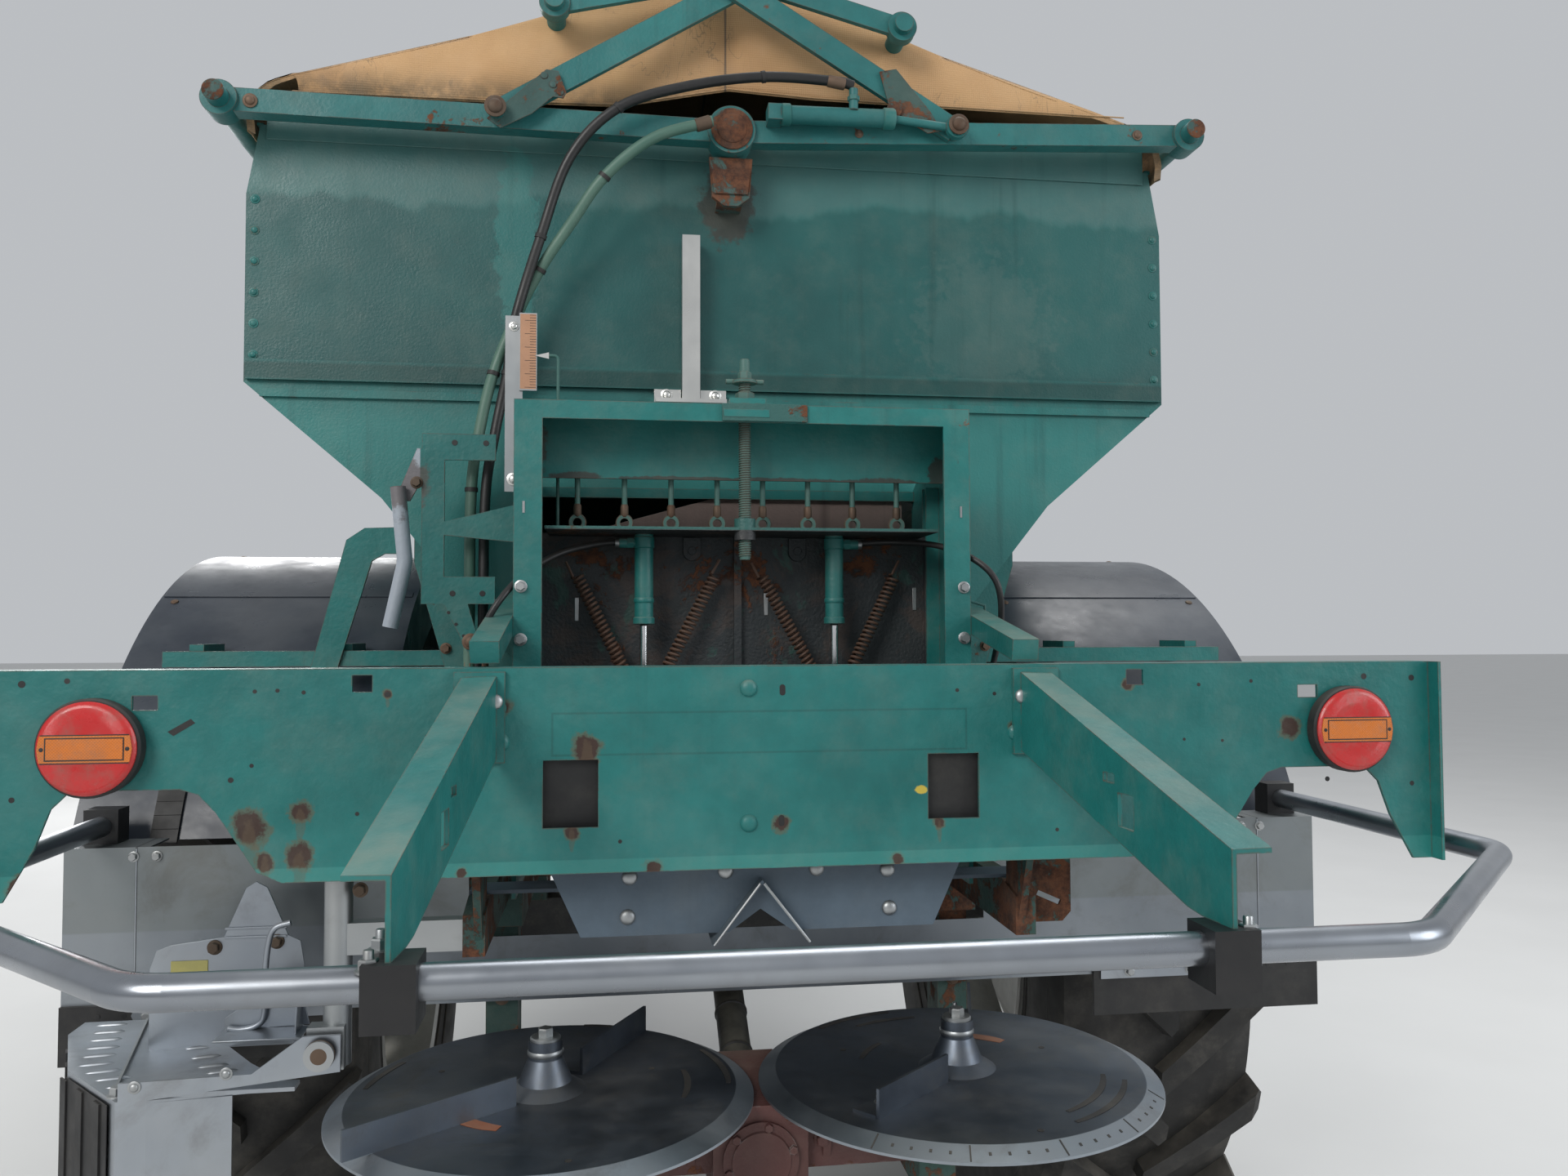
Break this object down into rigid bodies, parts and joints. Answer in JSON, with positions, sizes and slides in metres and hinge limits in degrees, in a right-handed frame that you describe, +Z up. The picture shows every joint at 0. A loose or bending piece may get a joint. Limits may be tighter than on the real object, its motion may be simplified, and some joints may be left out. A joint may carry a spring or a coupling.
{
  "type": "fertilizer spreader",
  "caption": "Trailed fertilizer spreader: V-shaped hopper with a belt floor, sliding rear gate, spinning discs, guard frame, sheet hood and a drawbar on its jack.",
  "frame": {"origin": "on the ground, at mid-length of the machine, on its centre line", "axes": "+X to the right-hand side, +Y the direction of travel (drawbar), +Z up"},
  "size_m": [2.5, 6.7, 3.03],
  "materials": {
    "painted_green": "worn gloss paint",
    "hopper_teal": "weathered paint",
    "frame_paint": "weathered paint",
    "gate_rust": "rusty worn paint",
    "stainless": "satin",
    "galvanised": "dull galvanised",
    "disc_steel": "worn dark coating",
    "drive_rust": "rusty red-brown",
    "tyre": "matt, dusty",
    "rim_grey": "gloss paint",
    "dark_paint": "satin",
    "mudguard": "satin, scuffed",
    "rubber": "matt",
    "lamp": "clear gloss",
    "sheet": "dusty woven sheet",
    "aluminium": "brushed"
  },
  "bodies": {
    "machine": {"rear_crossbar": "painted_green", "lamp_left": "lamp", "lamp_right": "lamp", "guard_arm_left": "painted_green", "guard_arm_right": "painted_green", "guard_tube": "stainless", "tube_clamps": "rubber", "shield": "stainless", "shield_strips": "rubber", "hopper_side_left": "hopper_teal", "hopper_side_right": "hopper_teal", "hopper_rear_wall": "hopper_teal", "hopper_front_wall": "hopper_teal", "hopper_saddles": "frame_paint", "chassis": "frame_paint", "axle": "dark_paint", "mudguard_left": "mudguard", "mudguard_right": "mudguard", "mudguard_stays": "painted_green", "belt": "rubber", "belt_rollers": "dark_paint", "belt_frame": "frame_paint", "gate_frame": "painted_green", "gate_screw": "galvanised", "funnel": "painted_green", "disc_gearbox": "drive_rust", "spreader_carrier": "painted_green", "driveline": "dark_paint", "limiter_carrier": "galvanised", "hose_bracket": "painted_green", "level_scale": "galvanised", "setting_tube": "aluminium", "tarpaulin": "sheet", "hood_tubes": "painted_green", "hood_frame_rear": "painted_green", "hood_frame_front": "painted_green", "hub_brackets": "painted_green", "hood_cylinder": "dark_paint", "hood_hoses": "rubber", "drawbar": "frame_paint", "hitch_eye": "galvanised", "jack": "galvanised"},
    "wheel_left": {"rim_left": "rim_grey", "hub_left": "rim_grey", "tyre_left": "tyre"},
    "wheel_right": {"rim_right": "rim_grey", "hub_right": "rim_grey", "tyre_right": "tyre"},
    "spinner_left": {"disc_left": "disc_steel"},
    "spinner_right": {"disc_right": "disc_steel"},
    "gate": {"gate_plate": "gate_rust", "gate_eyebolts": "galvanised", "shutter_cylinders": "dark_paint", "springs_left": "galvanised", "springs_right": "galvanised"},
    "shutter_l": {"shutter_left": "gate_rust"},
    "shutter_r": {"shutter_right": "gate_rust"},
    "border_limiter": {"limiter": "stainless"},
    "jack_foot": {"jack_leg": "galvanised"}
  },
  "joints": [
    {"name": "wheel_left_spin", "type": "hinge", "parent": "machine", "child": "wheel_left", "pos_m": [-0.967, -1.253, 0.875], "axis": [1, 0, 0], "continuous": true},
    {"name": "wheel_right_spin", "type": "hinge", "parent": "machine", "child": "wheel_right", "pos_m": [0.967, -1.253, 0.875], "axis": [1, 0, 0], "continuous": true},
    {"name": "disc_left_spin", "type": "hinge", "parent": "machine", "child": "spinner_left", "pos_m": [-0.336, -2.64, 0.93], "axis": [0, 0, 1], "continuous": true},
    {"name": "disc_right_spin", "type": "hinge", "parent": "machine", "child": "spinner_right", "pos_m": [0.336, -2.64, 0.93], "axis": [0, 0, 1], "continuous": true},
    {"name": "gate_slide", "type": "slide", "parent": "machine", "child": "gate", "axis": [0, 0, 1], "range_m": [0, 0.08]},
    {"name": "shutter_left_slide", "type": "slide", "parent": "gate", "child": "shutter_l", "axis": [0, 0, 1], "range_m": [0, 0.1], "deforming": ["springs_left"]},
    {"name": "shutter_right_slide", "type": "slide", "parent": "gate", "child": "shutter_r", "axis": [0, 0, 1], "range_m": [0, 0.1], "deforming": ["springs_right"]},
    {"name": "limiter_hinge", "type": "hinge", "parent": "machine", "child": "border_limiter", "pos_m": [-0.662, -2.702, 1.024], "axis": [0, 1, 0], "range_deg": [0, 80]},
    {"name": "jack_slide", "type": "slide", "parent": "machine", "child": "jack_foot", "axis": [0, 0, 1], "range_m": [0, 0.35]}
  ],
  "couplings": [
    {"joint": "disc_right_spin", "follows": "disc_left_spin", "ratio": -1}
  ]
}
